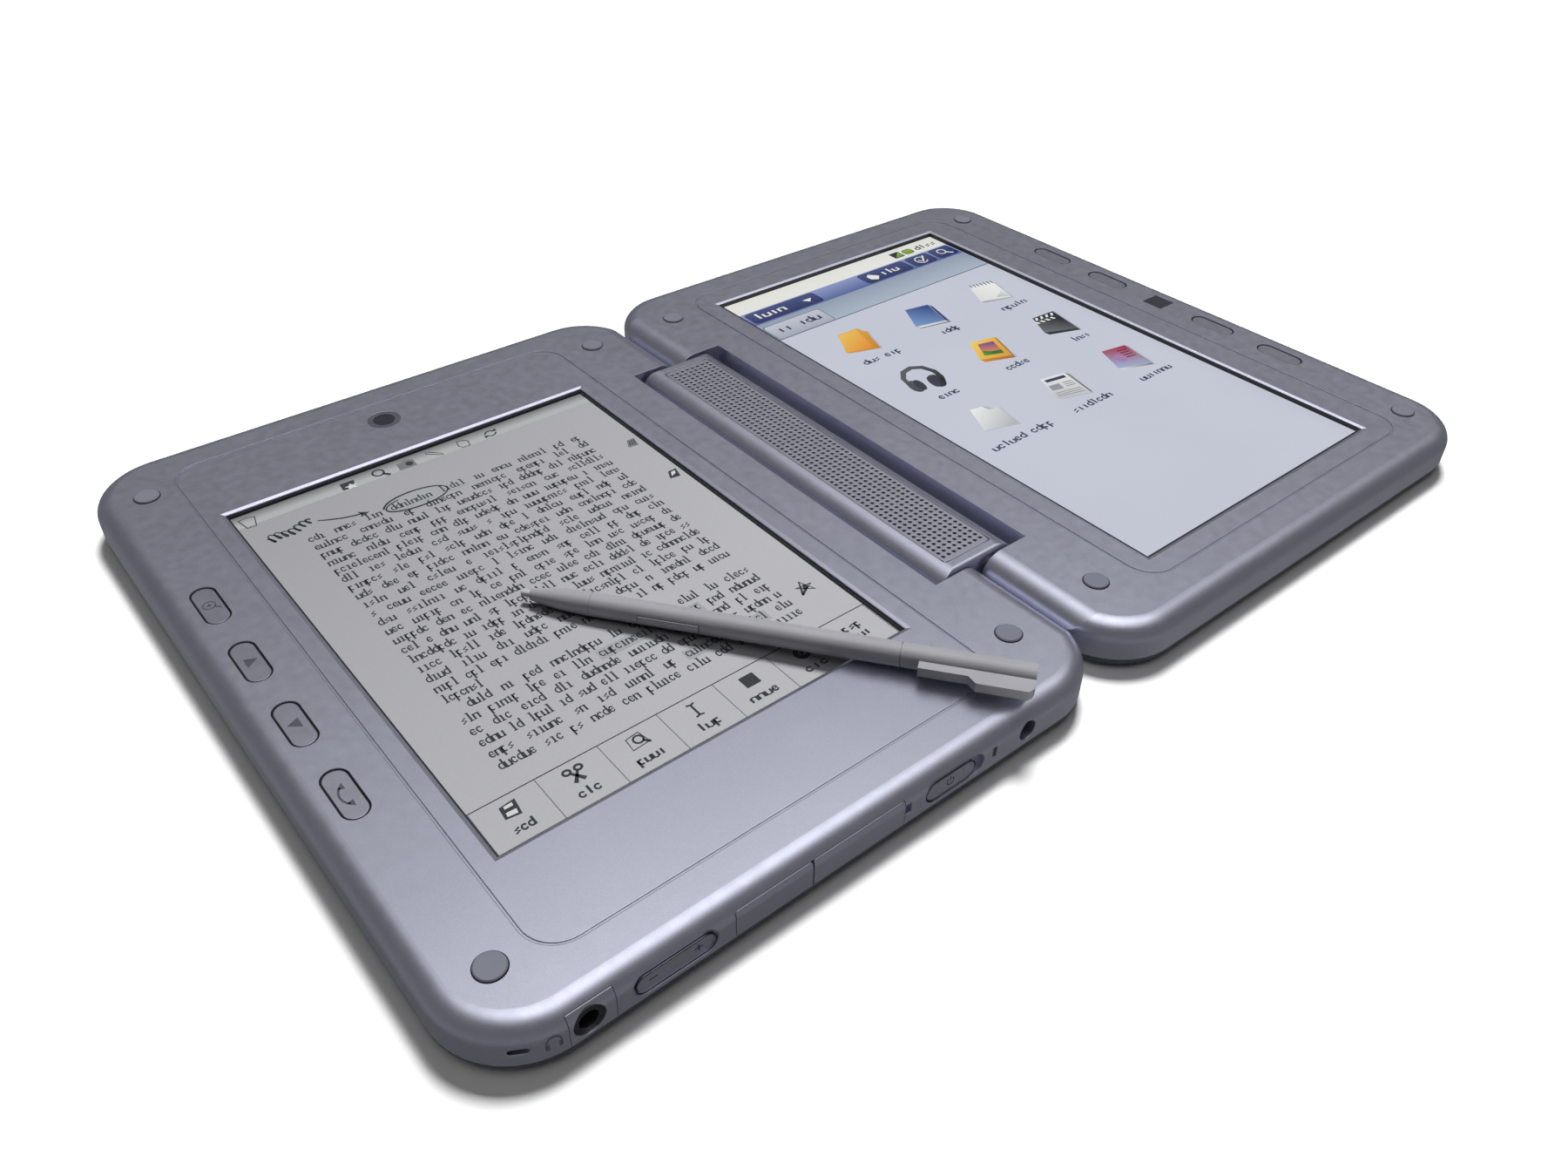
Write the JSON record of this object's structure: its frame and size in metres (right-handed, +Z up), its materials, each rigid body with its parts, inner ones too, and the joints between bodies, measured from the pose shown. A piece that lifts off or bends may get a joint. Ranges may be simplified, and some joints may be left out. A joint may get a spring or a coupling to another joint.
{
  "type": "personal digital assistant",
  "caption": "Folding two-screen pocket reader lying open: e-paper half and colour-screen half joined by a speaker bar with two hinges, pen on the page.",
  "frame": {"origin": "centre of the underside of the open object's bounding box, under the speaker bar", "axes": "+X from the e-paper half to the colour half, +Y towards the head of the page, +Z up"},
  "size_m": [0.29, 0.1916, 0.0174],
  "materials": {
    "shell_silver": "fine metallic paint",
    "shell_dark": "satin",
    "key_silver": "fine metallic paint",
    "pad_rubber": "satin",
    "foot_rubber": "matte",
    "page_screen": "matte e-paper",
    "colour_screen": "lit panel",
    "touch_glass": "clear",
    "board_green": "solder mask",
    "camera_ring": "smoked",
    "lens_glass": "lens",
    "black_plastic": "satin",
    "light_pipe": "translucent",
    "socket_metal": "nickel",
    "pin_steel": "ground",
    "screw_black": "blackened",
    "pen_plastic": "satin",
    "nib_plastic": "matte",
    "grille_metal": "fine metallic paint, perforated",
    "battery_wrap": "film"
  },
  "bodies": {
    "reader_half": {"reader_top_shell": "shell_silver", "reader_bottom_shell": "shell_dark", "reader_pads": "pad_rubber", "reader_feet": "foot_rubber", "eink_screen": "page_screen", "eink_gasket": "black_plastic", "digitizer_board": "board_green", "main_board": "board_green", "reader_key_board": "board_green", "camera_bezel": "camera_ring", "camera_glass": "lens_glass", "camera_module": "black_plastic", "headphone_socket": "black_plastic", "socket_surround": "shell_silver", "power_socket": "black_plastic", "power_light": "light_pipe", "usb_socket": "socket_metal", "card_socket": "socket_metal", "reader_screws": "screw_black", "reader_hinge_pins": "pin_steel"},
    "zoom_key": {"zoom_key": "key_silver"},
    "page_up_key": {"page_up_key": "key_silver"},
    "page_down_key": {"page_down_key": "key_silver"},
    "rotate_key": {"rotate_key": "key_silver"},
    "volume_rocker": {"volume_rocker": "key_silver"},
    "power_slider": {"power_slider": "key_silver"},
    "usb_cover": {"usb_cover": "shell_silver"},
    "card_cover": {"card_cover": "shell_silver"},
    "pen": {"pen_barrel": "pen_plastic", "pen_nose": "pen_plastic", "pen_nib": "nib_plastic", "pen_cap": "pen_plastic"},
    "pen_button": {"pen_button": "pen_plastic"},
    "spine": {"bar_lower_shell": "shell_silver", "bar_upper_shell": "shell_silver", "speaker_grille": "grille_metal", "speakers": "black_plastic", "hinge_barrels": "pin_steel"},
    "tablet_half": {"tablet_top_shell": "shell_silver", "tablet_bottom_shell": "shell_dark", "tablet_pads": "pad_rubber", "tablet_feet": "foot_rubber", "touch_glass": "touch_glass", "lcd_gasket": "black_plastic", "lcd_screen": "colour_screen", "battery_pack": "battery_wrap", "radio_board": "board_green", "tablet_key_board": "board_green", "light_sensor_window": "lens_glass", "tablet_screws": "screw_black", "tablet_hinge_pins": "pin_steel"},
    "menu_key": {"menu_key": "key_silver"},
    "home_key": {"home_key": "key_silver"},
    "back_key": {"back_key": "key_silver"},
    "search_key": {"search_key": "key_silver"}
  },
  "joints": [
    {"name": "reader_hinge", "type": "hinge", "parent": "reader_half", "child": "spine", "pos_m": [-0.006, 0, 0.0059], "axis": [0, -1, 0], "range_deg": [-90, 90]},
    {"name": "tablet_hinge", "type": "hinge", "parent": "spine", "child": "tablet_half", "pos_m": [0.006, 0, 0.0059], "axis": [0, -1, 0], "range_deg": [-90, 90]},
    {"name": "pen_lift", "type": "slide", "parent": "reader_half", "child": "pen", "axis": [0, 0, 1], "range_m": [0, 0.12]},
    {"name": "pen_button_press", "type": "slide", "parent": "pen", "child": "pen_button", "axis": [0.807, 0.5906, 0], "range_m": [0, 0.0004], "stiffness_N_per_m": 400, "springref_m": -0.0005},
    {"name": "zoom_key_press", "type": "slide", "parent": "reader_half", "child": "zoom_key", "axis": [0, 0, -1], "range_m": [0, 0.0006], "stiffness_N_per_m": 400, "springref_m": -0.001},
    {"name": "page_up_key_press", "type": "slide", "parent": "reader_half", "child": "page_up_key", "axis": [0, 0, -1], "range_m": [0, 0.0006], "stiffness_N_per_m": 400, "springref_m": -0.001},
    {"name": "page_down_key_press", "type": "slide", "parent": "reader_half", "child": "page_down_key", "axis": [0, 0, -1], "range_m": [0, 0.0006], "stiffness_N_per_m": 400, "springref_m": -0.001},
    {"name": "rotate_key_press", "type": "slide", "parent": "reader_half", "child": "rotate_key", "axis": [0, 0, -1], "range_m": [0, 0.0006], "stiffness_N_per_m": 400, "springref_m": -0.001},
    {"name": "menu_key_press", "type": "slide", "parent": "tablet_half", "child": "menu_key", "axis": [0, 0, -1], "range_m": [0, 0.0006], "stiffness_N_per_m": 400, "springref_m": -0.001},
    {"name": "home_key_press", "type": "slide", "parent": "tablet_half", "child": "home_key", "axis": [0, 0, -1], "range_m": [0, 0.0006], "stiffness_N_per_m": 400, "springref_m": -0.001},
    {"name": "back_key_press", "type": "slide", "parent": "tablet_half", "child": "back_key", "axis": [0, 0, -1], "range_m": [0, 0.0006], "stiffness_N_per_m": 400, "springref_m": -0.001},
    {"name": "search_key_press", "type": "slide", "parent": "tablet_half", "child": "search_key", "axis": [0, 0, -1], "range_m": [0, 0.0006], "stiffness_N_per_m": 400, "springref_m": -0.001},
    {"name": "volume_rocker_tilt", "type": "hinge", "parent": "reader_half", "child": "volume_rocker", "pos_m": [-0.1096, -0.0946, 0.0064], "axis": [0, 0, 1], "range_deg": [-2.5, 2.5], "stiffness_Nm_per_rad": 0.05},
    {"name": "power_slider_slide", "type": "slide", "parent": "reader_half", "child": "power_slider", "axis": [1, 0, 0], "range_m": [0, 0.0025], "stiffness_N_per_m": 200, "springref_m": -0.002},
    {"name": "usb_cover_hinge", "type": "hinge", "parent": "reader_half", "child": "usb_cover", "pos_m": [-0.0813, -0.0958, 0.006], "axis": [0, 0, 1], "range_deg": [0, 80]},
    {"name": "card_cover_hinge", "type": "hinge", "parent": "reader_half", "child": "card_cover", "pos_m": [-0.081, -0.0958, 0.006], "axis": [0, 0, -1], "range_deg": [0, 80]}
  ]
}
